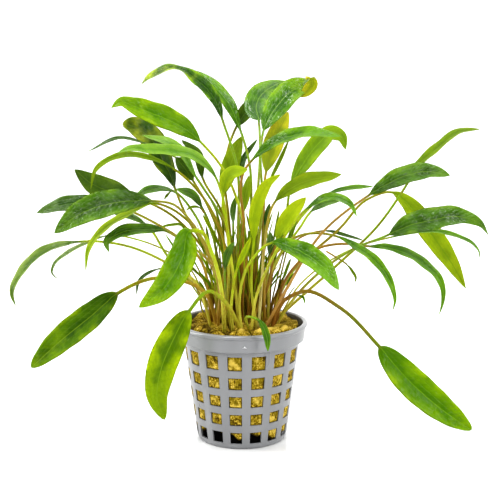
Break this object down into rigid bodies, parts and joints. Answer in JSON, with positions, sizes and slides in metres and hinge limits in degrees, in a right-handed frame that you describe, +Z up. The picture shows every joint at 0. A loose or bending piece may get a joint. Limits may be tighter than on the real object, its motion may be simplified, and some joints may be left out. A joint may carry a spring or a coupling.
{
  "type": "potted aquarium plant",
  "caption": "Bushy aquarium plant with narrow arching leaves on thin stalks, rooted in a rock wool plug in a tapered plastic net pot.",
  "frame": {"origin": "centre of the pot's underside, on the surface that it stands on", "axes": "+Z up along the pot's axis, +X to the right and +Y away from a viewer who stands where the picture was taken"},
  "size_m": [0.1941, 0.1095, 0.157],
  "materials": {
    "pot_plastic": "satin",
    "rock_wool": "matte",
    "leaf": "satin"
  },
  "bodies": {
    "root": {"net_pot": "pot_plastic", "rock_wool": "rock_wool", "leaf_left_01": "leaf", "leaf_left_02": "leaf", "leaf_left_03": "leaf", "leaf_left_04": "leaf", "leaf_left_05": "leaf", "leaf_left_06": "leaf", "leaf_left_07": "leaf", "leaf_left_08": "leaf", "leaf_left_09": "leaf", "leaf_left_10": "leaf", "leaf_left_11": "leaf", "leaf_left_12": "leaf", "leaf_left_13": "leaf", "leaf_left_14": "leaf", "leaf_left_15": "leaf", "leaf_left_16": "leaf", "leaf_left_17": "leaf", "leaf_left_18": "leaf", "leaf_left_19": "leaf", "leaf_left_20": "leaf", "leaf_left_21": "leaf", "leaf_left_22": "leaf", "leaf_left_23": "leaf", "leaf_left_24": "leaf", "leaf_front_01": "leaf", "leaf_top_01": "leaf", "leaf_top_02": "leaf", "leaf_top_03": "leaf", "leaf_top_04": "leaf", "leaf_top_05": "leaf", "leaf_top_06": "leaf", "leaf_top_07": "leaf", "leaf_top_08": "leaf", "leaf_top_09": "leaf", "leaf_top_10": "leaf", "leaf_top_11": "leaf", "leaf_top_12": "leaf", "leaf_top_13": "leaf", "leaf_front_02": "leaf", "leaf_front_03": "leaf", "leaf_front_04": "leaf", "leaf_right_01": "leaf", "leaf_right_02": "leaf", "leaf_right_03": "leaf", "leaf_right_04": "leaf", "leaf_right_05": "leaf", "leaf_right_06": "leaf", "leaf_right_07": "leaf", "leaf_right_08": "leaf", "leaf_right_09": "leaf", "leaf_right_10": "leaf", "leaf_right_11": "leaf", "leaf_right_12": "leaf", "leaf_right_13": "leaf", "leaf_right_14": "leaf", "leaf_right_15": "leaf", "leaf_right_16": "leaf"}
  },
  "joints": []
}
